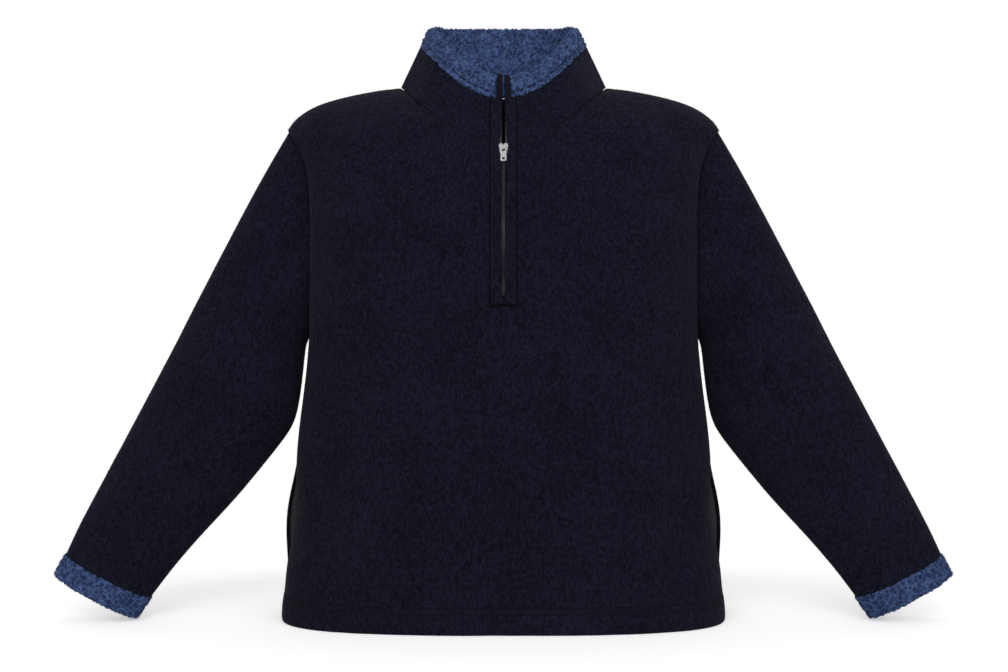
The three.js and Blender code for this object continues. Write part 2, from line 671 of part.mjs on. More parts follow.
/** A rectangle in x and z for a plate. */
function oblong(halfWidth, bottom, top) {
  const shape = new THREE.Shape();
  shape.moveTo(-halfWidth, bottom);
  shape.lineTo(halfWidth, bottom);
  shape.lineTo(halfWidth, top);
  shape.lineTo(-halfWidth, top);
  shape.closePath();
  return shape;
}

/** Outline of the slider's plates: two shoulders at the top, narrowing to the bottom. */
function sliderOutline() {
  const [wide, narrow, half] = [SLIDER.width / 2, SLIDER.waist / 2, SLIDER.length / 2];
  const shape = new THREE.Shape();
  shape.moveTo(-narrow, -half);
  shape.lineTo(narrow, -half);
  shape.lineTo(narrow + 0.4, -half + 1);
  shape.lineTo(wide, half - 4.6);
  shape.lineTo(wide, half - 1.6);
  shape.lineTo(wide - 1.2, half);
  shape.lineTo(1.6, half);
  shape.lineTo(0, half - 1.8);
  shape.lineTo(-1.6, half);
  shape.lineTo(-wide + 1.2, half);
  shape.lineTo(-wide, half - 1.6);
  shape.lineTo(-wide, half - 4.6);
  shape.lineTo(-narrow - 0.4, -half + 1);
  shape.closePath();
  return shape;
}

/** The bail: an arch along the slider that the pull's bar runs under. */
function bail() {
  const shape = new THREE.Shape();
  const top = BAIL.height;
  const plateTop = LAY + 0.3 + SLIDER.frontPlate / 2;
  shape.moveTo(-BAIL.outer / 2, plateTop);
  shape.lineTo(-BAIL.inner / 2, plateTop);
  shape.lineTo(-BAIL.inner / 2, BAIL.clear - 0.6);
  shape.lineTo(-BAIL.inner / 2 + 0.6, BAIL.clear);
  shape.lineTo(BAIL.inner / 2 - 0.6, BAIL.clear);
  shape.lineTo(BAIL.inner / 2, BAIL.clear - 0.6);
  shape.lineTo(BAIL.inner / 2, plateTop);
  shape.lineTo(BAIL.outer / 2, plateTop);
  shape.lineTo(BAIL.outer / 2, top - 1);
  shape.lineTo(BAIL.outer / 2 - 1, top);
  shape.lineTo(-BAIL.outer / 2 + 1, top);
  shape.lineTo(-BAIL.outer / 2, top - 1);
  shape.closePath();
  const geometry = new THREE.ExtrudeGeometry(shape, { depth: BAIL.width, bevelEnabled: false });
  geometry.translate(0, 0, -BAIL.width / 2);
  // The outline's first axis runs along the zip and its second stands out from it.
  geometry.applyMatrix4(new THREE.Matrix4().set(0, 0, 1, 0, 0, -1, 0, 0, 1, 0, 0, 0, 0, 0, 0, 1));
  return geometry;
}

/** Slider: two plates on a post between the tapes, with the bail on the front one. */
function zipSlider() {
  const frontFrom = LAY + 0.3;
  const half = SLIDER.length / 2;
  const backFrom = -TAPE.wall - 0.5 - SLIDER.backPlate;
  const parts = [
    plate(sliderOutline(), frontFrom, frontFrom + SLIDER.frontPlate),
    plate(sliderOutline(), backFrom, backFrom + SLIDER.backPlate),
    plate(oblong(SLIDER.post / 2, half - 4.4, half - 2.4), backFrom + 0.4, frontFrom + 0.4),
    bail(),
  ].map(solidOf);
  return geometryOf(parts.slice(1).reduce((body, part) => body.add(part), parts[0]));
}

/** Pull tab: a bar under the bail, a window that clears the bail, and a small slot near its end. */
function zipPull() {
  const [wide, end] = [PULL.width / 2, -PULL.length];
  const shape = new THREE.Shape();
  shape.moveTo(-wide, PULL.top - 0.4);
  shape.lineTo(-wide + 0.4, PULL.top);
  shape.lineTo(wide - 0.4, PULL.top);
  shape.lineTo(wide, PULL.top - 0.4);
  shape.lineTo(wide - 0.5, -PULL.windowDown - 1.5);
  shape.lineTo(wide, end + 4);
  shape.lineTo(wide, end + 1.2);
  shape.lineTo(wide - 1.2, end);
  shape.lineTo(-wide + 1.2, end);
  shape.lineTo(-wide, end + 1.2);
  shape.lineTo(-wide, end + 4);
  shape.lineTo(-wide + 0.5, -PULL.windowDown - 1.5);
  shape.closePath();
  shape.holes.push(oblong(PULL.windowHalf, -PULL.windowDown, -PULL.top));
  shape.holes.push(oblong(PULL.holeHalf, end + 1.8, end + 4.4));
  return plate(shape, -PULL.wall / 2, PULL.wall / 2);
}

/** The zip's metal parts, set square to the cloth where the slider stands. */
function zipHardware() {
  const group = new THREE.Group();
  const foot = zipPoint(SLIDER_Z, 0, 0);
  const out = zipPoint(SLIDER_Z, 0, 1).sub(foot);
  group.position.copy(foot);
  group.rotation.x = -Math.atan2(out.z, -out.y);
  const pull = piece('zip_pull', zipPull(), METAL);
  pull.position.set(0, -PULL.axisOut, 0);
  group.add(piece('zip_slider', zipSlider(), METAL), pull);
  return group;
}

// ---------------------------------------------------------------- pockets
/** A pocket bag on the wearer's left (turn 1) or right (turn -1): a sheet folded behind the front. */
function pocketBag(turn) {
  const lastColumn = frontGrids.columns.length - 1;
  const [low, high] = [POCKET_HEIGHTS[0], MOUTH.top];
  const grid = POCKET_HEIGHTS.map((z) => {
    const row = PANEL_HEIGHTS.indexOf(z);
    const along = (z - low) / (high - low);
    const gap = POCKET.pinch + (POCKET.gap - POCKET.pinch) * pow(sin(PI * along), 0.6);
    const behind = (k, depth) => {
      const column = turn > 0 ? lastColumn - k : k;
      return frontGrids.inner[row][column].clone().addScaledVector(frontGrids.normals[row][column], -depth);
    };
    const layer = (depth) => Array.from({ length: POCKET_COLUMNS }, (_, k) => behind(k, depth));
    const frontLayer = layer(POCKET.clear);
    const backLayer = layer(POCKET.clear + 2 * POCKET.wall + gap).slice(2).reverse();
    const fold = frontLayer[frontLayer.length - 1].clone().lerp(backLayer[0], 0.5);
    fold.x -= turn * POCKET.turn;
    const seamX = panelEdge(BACK, z).width - CLOTH - 2 * POCKET.clear;
    const end = point(turn * (seamX - POCKET.clear), POCKET.backReach, z);
    const inwards = POCKET.inset + POCKET.slack * mouthGape(z);
    const beside = point(turn * (seamX - inwards), -POCKET.backReach, z);
    return [...frontLayer, fold, ...backLayer, beside, end];
  });
  const normals = gridNormals(grid);
  const inner = grid.map((line, r) => line.map((place, c) => (
    place.clone().addScaledVector(normals[r][c], turn * POCKET.wall))));
  return clothBody(grid, inner);
}

// ---------------------------------------------------------------- assembly
const garment = new THREE.Group();
garment.add(
  piece('front', frontPanel(frontGrids), FLEECE),
  piece('back', clothBody(backGrids.outer, backGrids.inner), FLEECE),
  piece('collar', collarShell(), FLEECE),
  piece('collar_lining', collarLining(), SHERPA),
  zipHardware(),
);
[['left', 1], ['right', -1]].forEach(([side, turn]) => {
  garment.add(
    piece(`sleeve_${side}`, sleeveTube(turn), FLEECE),
    piece(`cuff_${side}`, cuffTube(turn), SHERPA),
    piece(`placket_${side}`, placketLip(turn), FLEECE),
    piece(`zip_tape_${side}`, zipTape(turn), WOVEN),
    piece(`pocket_${side}`, pocketBag(turn), POCKETING),
  );
});

export default garment;
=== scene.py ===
"""Looks for a quarter-zip fleece pullover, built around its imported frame. Metres, +Z up, front faces -Y."""

from __future__ import annotations

import logging
import math
import random
from dataclasses import dataclass, field
from enum import Enum
from typing import Callable, Sequence

import bmesh
import bpy
import numpy as np
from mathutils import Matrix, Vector, noise
from mathutils.bvhtree import BVHTree

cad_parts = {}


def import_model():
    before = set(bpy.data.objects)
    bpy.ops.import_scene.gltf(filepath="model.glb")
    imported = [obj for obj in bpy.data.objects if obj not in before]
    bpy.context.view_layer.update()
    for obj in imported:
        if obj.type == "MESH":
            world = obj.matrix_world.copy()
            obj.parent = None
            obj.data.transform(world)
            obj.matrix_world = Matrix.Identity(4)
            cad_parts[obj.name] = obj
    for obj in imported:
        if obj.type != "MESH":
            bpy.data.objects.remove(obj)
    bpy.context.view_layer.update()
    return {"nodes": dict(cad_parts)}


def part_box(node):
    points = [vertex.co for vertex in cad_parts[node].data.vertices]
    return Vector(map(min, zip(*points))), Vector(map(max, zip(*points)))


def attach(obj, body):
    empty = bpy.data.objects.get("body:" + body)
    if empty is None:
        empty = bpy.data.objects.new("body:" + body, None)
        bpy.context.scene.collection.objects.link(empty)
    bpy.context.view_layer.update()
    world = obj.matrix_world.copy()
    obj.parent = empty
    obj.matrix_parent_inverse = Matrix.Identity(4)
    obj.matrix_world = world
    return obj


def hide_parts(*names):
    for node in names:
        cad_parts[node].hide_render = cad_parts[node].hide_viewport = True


LOG = logging.getLogger("pullover")
Rgb = tuple[float, float, float]


class Side(Enum):
    """Which face of a garment a fold lies on."""

    FRONT = -1
    BACK = 1


class Held(Enum):
    """How a cloth piece is held in place."""

    DRAPED = "draped"
    STRETCHED = "stretched"
    FOLDED = "folded"


# ---------------------------------------------------------------- shader maths
class Value:
    """A shader socket that Python operators act on by adding Math nodes."""

    def __init__(self, graph: "Graph", socket: bpy.types.NodeSocket) -> None:
        """Keeps the graph and the socket.

        Args:
            graph: the graph that new nodes go into.
            socket: the output socket that holds the value.
        """
        self.graph = graph
        self.socket = socket

    def _math(self, operation: str, first: object, second: object) -> "Value":
        """Adds one Math node.

        Args:
            operation: the node's operation.
            first: its first value.
            second: its second value.

        Returns:
            The node's result.
        """
        return self.graph.node("ShaderNodeMath", {"operation": operation}, {0: first, 1: second})

    def __add__(self, other: object) -> "Value":
        """Sum."""
        return self._math("ADD", self, other)

    def __sub__(self, other: object) -> "Value":
        """Difference."""
        return self._math("SUBTRACT", self, other)

    def __rsub__(self, other: object) -> "Value":
        """Difference from a plain number."""
        return self._math("SUBTRACT", other, self)

    def __mul__(self, other: object) -> "Value":
        """Product."""
        return self._math("MULTIPLY", self, other)

    def __truediv__(self, other: object) -> "Value":
        """Quotient."""
        return self._math("DIVIDE", self, other)

    def __pow__(self, other: object) -> "Value":
        """Power."""
        return self._math("POWER", self, other)

    def __abs__(self) -> "Value":
        """Size without sign."""
        return self._math("ABSOLUTE", self, 0.0)

    def above(self, level: float) -> "Value":
        """1 where the value is over a level, and 0 elsewhere."""
        return self._math("GREATER_THAN", self, level)

    def band(self, centre: float, half_width: float) -> "Value":
        """A soft line: 1 at the centre, falling to 0 at half a width from it.

        Args:
            centre: the value in the middle of the line.
            half_width: how far the line reaches to each side.

        Returns:
            The line's strength.
        """
        near = 1.0 - abs(self - centre) / half_width
        return self._math("MAXIMUM", near, 0.0)

    __radd__ = __add__
    __rmul__ = __mul__


class Graph:
    """A material's node tree."""

    def __init__(self, name: str) -> None:
        """Makes an empty material.

        Args:
            name: the material's name.
        """
        self.material = bpy.data.materials.new(name)
        self.material.use_nodes = True
        self.tree = self.material.node_tree
        self.tree.nodes.clear()

    def node(self, kind: str, settings: dict[str, object], inputs: dict, output: object = 0) -> Value:
        """Adds a node, sets it, and links or fills its inputs.

        Args:
            kind: the node's type.
            settings: properties that are set first.
            inputs: input name or number to a Value or a constant.
            output: name or number of the output that is wanted.

        Returns:
            The chosen output.
        """
        made = self.tree.nodes.new(kind)
        for name, value in settings.items():
            setattr(made, name, value)
        for name, value in inputs.items():
            if isinstance(value, Value):
                self.tree.links.new(value.socket, made.inputs[name])
            else:
                made.inputs[name].default_value = value
        return Value(self, made.outputs[output])

    def place(self, scale: Sequence[float] = (1, 1, 1)) -> Value:
        """Object coordinates in metres, stretched by a scale."""
        coordinates = self.node("ShaderNodeTexCoord", {}, {}, "Object")
        return self.node("ShaderNodeMapping", {}, {"Vector": coordinates, "Scale": scale})

    def axes(self) -> tuple[Value, Value, Value]:
        """The three object coordinates on their own."""
        split = self.node("ShaderNodeSeparateXYZ", {}, {"Vector": self.place()})
        outputs = split.socket.node.outputs
        return tuple(Value(self, outputs[k]) for k in range(3))

    def noise(self, scale: float, detail: float = 2.0, stretch: Sequence[float] = (1, 1, 1)) -> Value:
        """Smooth noise.

        Args:
            scale: features in one metre.
            detail: how many finer layers are added.
            stretch: the scale of each axis.

        Returns:
            The noise, about 0 to 1.
        """
        place = self.place(stretch)
        return self.node("ShaderNodeTexNoise", {}, {"Vector": place, "Scale": scale, "Detail": detail})

    def cells(self, scale: float) -> Value:
        """Distance to scattered points, with a scale in features a metre."""
        return self.node("ShaderNodeTexVoronoi", {}, {"Vector": self.place(), "Scale": scale}, "Distance")

    def blend(self, factor: Value, low: Rgb, high: Rgb) -> Value:
        """A colour between two colours.

        Args:
            factor: 0 for the first colour and 1 for the second.
            low: the first colour or Value.
            high: the second colour or Value.

        Returns:
            The mixed colour.
        """
        made = self.tree.nodes.new("ShaderNodeMix")
        made.data_type = "RGBA"
        made.clamp_factor = True
        self.tree.links.new(factor.socket, made.inputs["Factor"])
        for name, colour in (("A", low), ("B", high)):
            socket = next(s for s in made.inputs if s.name == name and s.type == "RGBA")
            if isinstance(colour, Value):
                self.tree.links.new(colour.socket, socket)
            else:
                socket.default_value = (*colour, 1.0)
        return Value(self, next(s for s in made.outputs if s.type == "RGBA"))

    def surface(self, colour: object, height: Value | None, depth: float, **constants: float) -> None:
        """Finishes the material with a Principled shader.

        Args:
            colour: base colour or Value.
            height: bump height, or None.
            depth: the bump's size in metres.
            **constants: plain values of the shader's own sockets, underscores for spaces.
        """
        inputs: dict[str, object] = {
            "Base Color": colour if isinstance(colour, Value) else (*colour, 1.0),
        }
        inputs.update({name.replace("_", " "): value for name, value in constants.items()})
        if height is not None:
            inputs["Normal"] = self.node(
                "ShaderNodeBump", {}, {"Height": height, "Distance": depth, "Strength": 1.0})
        shader = self.node("ShaderNodeBsdfPrincipled", {}, inputs)
        self.output(shader)

    def output(self, shader: Value) -> None:
        """Links a shader to the material's output."""
        made = self.tree.nodes.new("ShaderNodeOutputMaterial")
        self.tree.links.new(shader.socket, made.inputs["Surface"])


# ---------------------------------------------------------------- finishes
@dataclass(frozen=True)
class Fleece:
    """Brushed navy fleece: short matt nap with fine mottling and a few specks of lint."""

    deep: Rgb = (0.0026, 0.0026, 0.0075)
    light: Rgb = (0.0098, 0.0098, 0.0202)
    lint: Rgb = (0.09, 0.09, 0.1)
    nap_scale: float = 420.0
    tuft_scale: float = 150.0
    cloud_scale: float = 14.0
    nap_share: float = 2.8
    tuft_share: float = 0.8
    cloud_share: float = 0.7
    tone: float = 0.42
    hem_rows: float = 0.006
    hem_groove: float = 0.0022
    hem_second_groove: float = 0.0016
    groove_depth: float = 1.6
    groove_shade: float = 0.5
    hem_line: float = -0.602
    placket_line: float = 0.0142
    stitch: float = 0.0014
    lint_patches: float = 0.56
    bump: float = 0.0024

    def make(self, placket_end: float) -> bpy.types.Material:
        """Builds the material.

        Args:
            placket_end: the height where the zip's topstitching closes in a box.

        Returns:
            The material.
        """
        graph = Graph("navy_fleece")
        nap = graph.noise(self.nap_scale, 3.0, (1.0, 1.0, 0.55))
        tufts = graph.noise(self.tuft_scale, 2.0, (1.0, 1.0, 0.7))
        cloud = graph.noise(self.cloud_scale, 2.0)
        fine = (nap - 0.5) * self.nap_share + (tufts - 0.5) * self.tuft_share
        mottle = fine + (cloud - 0.5) * self.cloud_share + self.tone
        lint = (1.0 - graph.cells(52.0) * 22.0).above(0.35) * graph.noise(9.0).above(self.lint_patches)
        x, y, z = graph.axes()
        reach = abs(x)
        beside = reach.band(self.placket_line, self.stitch) * z.above(placket_end)
        closing = z.band(placket_end, self.stitch) * (self.placket_line - reach).above(0.0)
        placket = (beside + closing) * (0.0 - y).above(0.0)
        hem = z.band(self.hem_line, self.hem_groove)
        second = z.band(self.hem_line - self.hem_rows, self.hem_second_groove)
        seams = hem + second + placket
        cloth = graph.blend(mottle - placket * self.groove_shade, self.deep, self.light)
        height = nap * 0.9 + tufts * 0.8 - seams * self.groove_depth
        graph.surface(graph.blend(lint * 0.7, cloth, self.lint), height, self.bump,
                      Roughness=1.0, Sheen_Weight=0.02, Sheen_Roughness=0.5, Specular_IOR_Level=0.05)
        return graph.material


@dataclass(frozen=True)
class Sherpa:
    """Curly blue sherpa fleece: bright curls over dark crevices, where the colour is darkened as painted
    shade.
    """

    # deep is the colour of the painted shade in the crevices; light is the curls' own blue.
    deep: Rgb = (0.009, 0.017, 0.052)
    light: Rgb = (0.074, 0.122, 0.290)
    bump: float = 0.0014

    def make(self) -> bpy.types.Material:
        """Builds the material."""
        graph = Graph("blue_sherpa")
        curl = graph.node("ShaderNodeAttribute", {"attribute_name": "curl"}, {}, "Fac")
        fine = graph.noise(900.0, 3.0)
        loops = 1.0 - abs(graph.noise(330.0, 1.0) - 0.5) * 7.0
        # The pile height from the curl attribute darkens the crevices as painted shade; the fine noise and
        # loops vary the tone at random.
        tone = curl * 0.85 + (fine - 0.5) * 0.5 + loops * 0.16
        graph.surface(graph.blend(tone, self.deep, self.light), fine * 0.5 + loops * 0.6, self.bump,
                      Roughness=1.0, Sheen_Weight=0.04, Sheen_Roughness=0.5, Specular_IOR_Level=0.05)
        return graph.material


@dataclass(frozen=True)
class Woven:
    """Dark woven or moulded trim."""

    name: str
    colour: Rgb
    thread_scale: float
    roughness: float = 0.8

    def make(self) -> bpy.types.Material:
        """Builds the material."""
        graph = Graph(self.name)
        thread = graph.noise(self.thread_scale, 1.0, (1.0, 1.0, 3.0))
        bright = tuple(1.9 * c for c in self.colour)
        graph.surface(graph.blend(thread, self.colour, bright), thread, 0.0002, Roughness=self.roughness)
        return graph.material


@dataclass(frozen=True)
class CastMetal:
    """Bright cast zip metal, lightly worn."""

    colour: Rgb = (0.36, 0.365, 0.375)
    wear_scale: float = 1400.0
    worn_share: float = 0.16
    wear_level: float = 0.36
    contrast: float = 2.8

    def make(self) -> bpy.types.Material:
        """Builds the material."""
        graph = Graph("zip_metal")
        wear = graph.noise(self.wear_scale, 3.0)
        dull = tuple(self.worn_share * c for c in self.colour)
        tone = (wear - self.wear_level) * self.contrast
        graph.surface(graph.blend(tone, dull, self.colour), wear, 0.0001, Roughness=0.34, Metallic=1.0)
        return graph.material


@dataclass(frozen=True)
class Moulded:
    """Dark moulded teeth with glints painted into their colour here and there, as painted highlights."""

    dark: Rgb = (0.006, 0.0062, 0.009)
    painted_glint: Rgb = (0.10, 0.102, 0.11)
    patch_scale: float = 60.0
    spark_scale: float = 700.0
    contrast: float = 5.0

    def make(self) -> bpy.types.Material:
        """Builds the material."""
        graph = Graph("zip_teeth_dark")
        patch = graph.noise(self.patch_scale, 1.0, (0.2, 0.2, 1.0))
        spark = graph.noise(self.spark_scale, 1.0)
        # Painted highlight: random patches of the teeth are lightened in the colour to look like glints.
        painted_glint_mask = (patch - 0.5) * self.contrast * spark
        graph.surface(graph.blend(painted_glint_mask, self.dark, self.painted_glint), None, 0.0, Roughness=0.5,
                      Specular_IOR_Level=0.3)
        return graph.material


# ---------------------------------------------------------------- meshes
TURNING_DEPTH = 0.03


@dataclass(frozen=True)
class Fold:
    """A soft trough (positive depth) or ridge (negative) on one side of the garment."""

    x: float
    z: float
    angle: float
    length: float
    width: float
    depth: float
    side: Side = Side.FRONT

    def push(self, points: np.ndarray, middle_y: np.ndarray) -> np.ndarray:
        """How far each point moves along Y.

        Args:
            points: the points, one a row.
            middle_y: the y that parts front from back at each point.

        Returns:
            The move of each point, in metres.
        """
        turn = math.radians(self.angle)
        dx = points[:, 0] - self.x
        dz = points[:, 2] - self.z
        along = (dx * math.sin(turn) + dz * math.cos(turn)) / self.length
        across = (dx * math.cos(turn) - dz * math.sin(turn)) / self.width
        here = (points[:, 1] - middle_y) * self.side.value > 0
        # The fold fades where the cloth turns to run along Y.
        depth = np.clip(np.abs(points[:, 1] - middle_y) / TURNING_DEPTH, 0, 1)
        return -self.side.value * self.depth * np.exp(-along**2 - across**2) * here * depth


WELD = 1e-6
FLAT_ENOUGH = math.radians(35)
SQUARE_ENOUGH = math.radians(50)
CUT_EDGE = math.radians(55)


def refined_copy(node: bpy.types.Object, name: str, levels: int, crease: float = 0.6) -> bpy.types.Object:
    """A fine, smooth copy of a cloth node.

    Args:
        node: the node that gives the form.
        name: the new piece's name.
        levels: how often each face is divided.
        crease: how sharp the cut edges stay.

    Returns:
        The new object, with its modifiers applied.
    """
    work = bmesh.new()
    work.from_mesh(node.data)
    bmesh.ops.remove_doubles(work, verts=work.verts, dist=WELD)
    bmesh.ops.join_triangles(
        work, faces=work.faces, angle_face_threshold=FLAT_ENOUGH, angle_shape_threshold=SQUARE_ENOUGH)
    layer = work.edges.layers.float.get("crease_edge") or work.edges.layers.float.new("crease_edge")
    for edge in work.edges:
        if len(edge.link_faces) == 2 and edge.calc_face_angle() > CUT_EDGE:
            edge[layer] = crease
    mesh = bpy.data.meshes.new(name)
    work.to_mesh(mesh)
    work.free()
    coarse = bpy.data.objects.new(name, mesh)
    bpy.context.scene.collection.objects.link(coarse)
    smooth = coarse.modifiers.new("smooth", "SUBSURF")
    smooth.levels = levels
    smooth.render_levels = levels
    fine = bpy.data.meshes.new_from_object(coarse.evaluated_get(bpy.context.evaluated_depsgraph_get()))
    coarse.modifiers.clear()
    coarse.data = fine
    fine.name = name
    fine.materials.clear()
    fine.polygons.foreach_set("use_smooth", np.ones(len(fine.polygons), dtype=bool))
    return coarse


def read_points(mesh: bpy.types.Mesh) -> np.ndarray:
    """A mesh's points as rows."""
    points = np.empty(len(mesh.vertices) * 3, dtype=np.float32)
    mesh.vertices.foreach_get("co", points)
    return points.reshape(-1, 3).astype(float)


def write_points(mesh: bpy.types.Mesh, points: np.ndarray) -> None:
    """Puts a mesh's points back."""
    mesh.vertices.foreach_set("co", points.astype(np.float32).ravel())
    mesh.update()


def mesh_normals(mesh: bpy.types.Mesh) -> np.ndarray:
    """A mesh's vertex directions as rows."""
    normals = np.empty(len(mesh.vertices) * 3, dtype=np.float32)
    mesh.vertices.foreach_get("normal", normals)
    return normals.reshape(-1, 3).astype(float)


def field_of(points: np.ndarray, sample: Callable[[Vector], float]) -> np.ndarray:
    """A number for each point.

    Args:
        points: the points, one a row.
        sample: gives the number at a place.

    Returns:
        The numbers.
    """
    return np.array([sample(Vector(place)) for place in points])


@dataclass(frozen=True)
class CurlShape:
    """How sherpa winds: scales in features a metre, and shares of the height."""

    bend: float = 0.0016
    bend_scale: float = 210.0
    scale: float = 185.0
    sharpness: float = 3.0
    clump_scale: float = 90.0
    clump_share: float = 0.3
    middle: float = 0.45
    stitch_shade: float = 0.45


CURL = CurlShape()
WANDER_SCALE = 17.0
CREASE_SCALE = 46.0
CREASE_SHARE = 0.45
PILE_SCALE = 260.0
PILE_STRETCH = 0.7
SIDE_FADE = 0.02
SLEEVE_DROP = (0.09, 0.6)
SLEEVE_FORWARD = (0.0, -0.024)


@dataclass
class ClothPiece:
    """One sewn piece of cloth, refined from its node and dressed."""

    node: str
    levels: int
    finish: bpy.types.Material
    slot: str
    flat: tuple[float, float]
    area: float
    folds: Sequence[Fold] = ()
    held: Held = Held.DRAPED
    ripple: float = 0.0
    curl: float = 0.0
    stitch_from: str = ""
    stitch_gap: float = 0.007
    stitch_half: float = 0.0014
    stitch_depth: float = 0.0016
    pile_ripple: float = 0.00028
    crease: float = 0.6
    kept_share: float = 1.0
    rests_on: Sequence[str] = field(default_factory=list)

    def build(self, nodes: dict[str, bpy.types.Object]) -> bpy.types.Object:
        """Makes the piece and moves its cloth.

        Args:
            nodes: the frame's nodes by name.

        Returns:
            The finished piece.
        """
        made = refined_copy(nodes[self.node], f"{self.node}_cloth", self.levels, self.crease)
        points = read_points(made.data)
        middle = self._middle(points)
        for fold in self.folds:
            points[:, 1] += fold.push(points, middle)
        write_points(made.data, points)
        if self.ripple:
            self._ripple(made.data)
        if self.curl:
            self._curl(made.data)
        if self.kept_share < 1.0:
            self._thin(made)
        made.data.materials.append(self.finish)
        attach(made, "garment")
        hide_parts(self.node)
        LOG.info("%s: %d faces", made.name, len(made.data.polygons))
        return made

    def _thin(self, made: bpy.types.Object) -> None:
        """Merges the flattest faces of a heavy piece, and keeps its share of them.

        Args:
            made: the piece, which gets the lighter mesh.
        """
        merge = made.modifiers.new("merge", "DECIMATE")
        merge.ratio = self.kept_share
        lighter = bpy.data.meshes.new_from_object(made.evaluated_get(bpy.context.evaluated_depsgraph_get()))
        made.modifiers.clear()
        made.data = lighter

    def _stitch_line(self, points: np.ndarray, normals: np.ndarray) -> np.ndarray:
        """Strength of a stitched groove that runs along the outside, beside another piece's edge.

        Args:
            points: the points, one a row.
            normals: their directions.

        Returns:
            0 to 1 for each point.
        """
        beside = bpy.data.objects[self.stitch_from]
        tree = BVHTree.FromObject(beside, bpy.context.evaluated_depsgraph_get())
        away = field_of(points, lambda place: tree.find_nearest(place)[3])
        outward = points[:, 0] * normals[:, 0] + points[:, 1] * normals[:, 1] > 0
        return np.clip(1 - np.abs(away - self.stitch_gap) / self.stitch_half, 0, 1) * outward

    def _middle(self, points: np.ndarray) -> np.ndarray:
        """The y that parts the piece's front from its back: sleeves hang a little forward."""
        if not self.node.startswith("sleeve"):
            return np.zeros(len(points))
        return np.interp(-points[:, 2], SLEEVE_DROP, SLEEVE_FORWARD)

    def _ripple(self, mesh: bpy.types.Mesh) -> None:
        """Lets the cloth wander a little, as soft fleece does."""
        points = read_points(mesh)
        wander = field_of(
            points, lambda p: noise.noise(p * WANDER_SCALE) + CREASE_SHARE * noise.noise(p * CREASE_SCALE))
        fine = field_of(points, lambda p: noise.noise(Vector((p.x, p.y, p.z * PILE_STRETCH)) * PILE_SCALE))
        moves = self.ripple * wander + self.pile_ripple * fine
        # Both faces of the wall move the same way, so that the wall keeps its thickness.
        facing = np.sign(points[:, 1] - self._middle(points))
        points[:, 1] += moves * facing * np.clip(np.abs(points[:, 1]) / SIDE_FADE, 0, 1)
        write_points(mesh, points)

    def _curl(self, mesh: bpy.types.Mesh) -> None:
        """Raises winding curls and keeps their height for the colour, which darkens the low pile as painted
        shade.
        """
        points = read_points(mesh)

        def height(place: Vector) -> float:
            """How high the pile stands at a place.

            Args:
                place: the point, in metres.

            Returns:
                The height, about 0 to 1.
            """
            coarse = place * CURL.bend_scale
            bent = place + CURL.bend * Vector((
                noise.noise(coarse), noise.noise(coarse + Vector((7, 0, 0))),
                noise.noise(coarse + Vector((0, 9, 0)))))
            ridge = 1.0 - min(1.0, abs(noise.noise(bent * CURL.scale)) * CURL.sharpness)
            clump = 0.5 + 0.5 * noise.noise(place * CURL.clump_scale)
            return (1 - CURL.clump_share) * ridge + CURL.clump_share * clump

        heights = field_of(points, height)
        normals = mesh_normals(mesh)
        moves = (heights - CURL.middle) * self.curl
        if self.stitch_from:
            line = self._stitch_line(points, normals)
            moves -= self.stitch_depth * line
            heights -= CURL.stitch_shade * line
        points += normals * moves[:, None]
        write_points(mesh, points)
        # The stored height darkens the sherpa's crevices and stitch line as painted shade.
        layer = mesh.attributes.new("curl", "FLOAT", "POINT")
        layer.data.foreach_set("value", heights.astype(np.float32))


